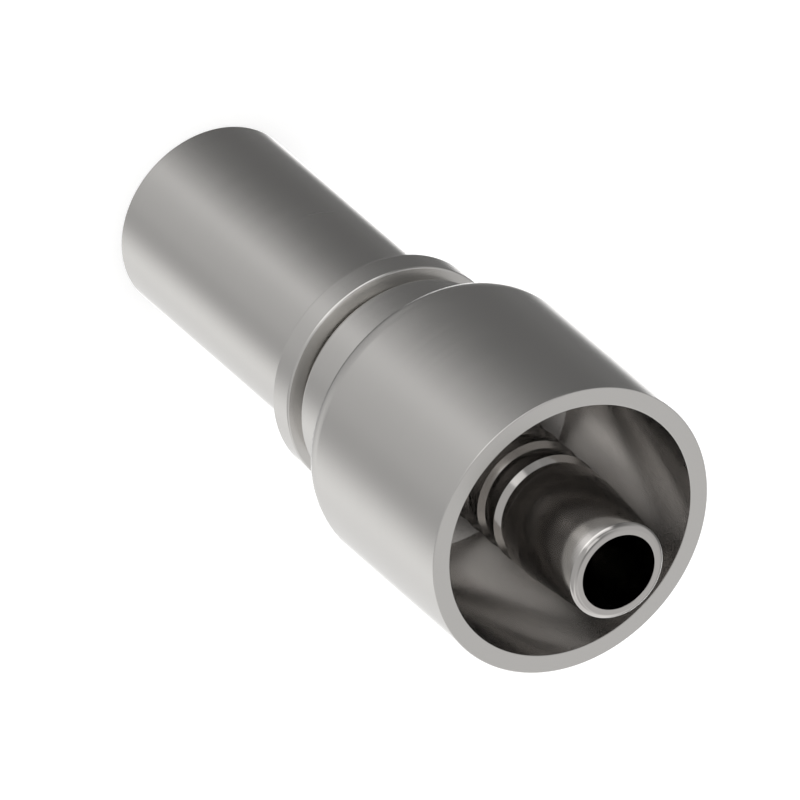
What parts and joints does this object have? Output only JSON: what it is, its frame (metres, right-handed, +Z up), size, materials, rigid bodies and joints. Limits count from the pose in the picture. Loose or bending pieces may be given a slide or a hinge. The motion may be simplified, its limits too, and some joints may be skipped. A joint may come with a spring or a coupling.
{
  "type": "straight crimp hose fitting with pipe stub",
  "caption": "Straight crimp hose fitting: a barbed hose tail stands in a crimp ferrule, with a collar and a plain pipe stub at the other end and a flow bore right through.",
  "frame": {"origin": "centre of the pipe stub's cut end, on which the fitting stands", "axes": "+Z up along the fitting's axis, from the cut end of the pipe stub to the tip of the hose tail"},
  "size_m": [0.0244, 0.0244, 0.0634],
  "materials": {
    "nipple_steel": "fine turned, satin",
    "ferrule_steel": "fine turned, satin"
  },
  "bodies": {
    "root": {"nipple": "nipple_steel", "ferrule": "ferrule_steel"}
  },
  "joints": []
}
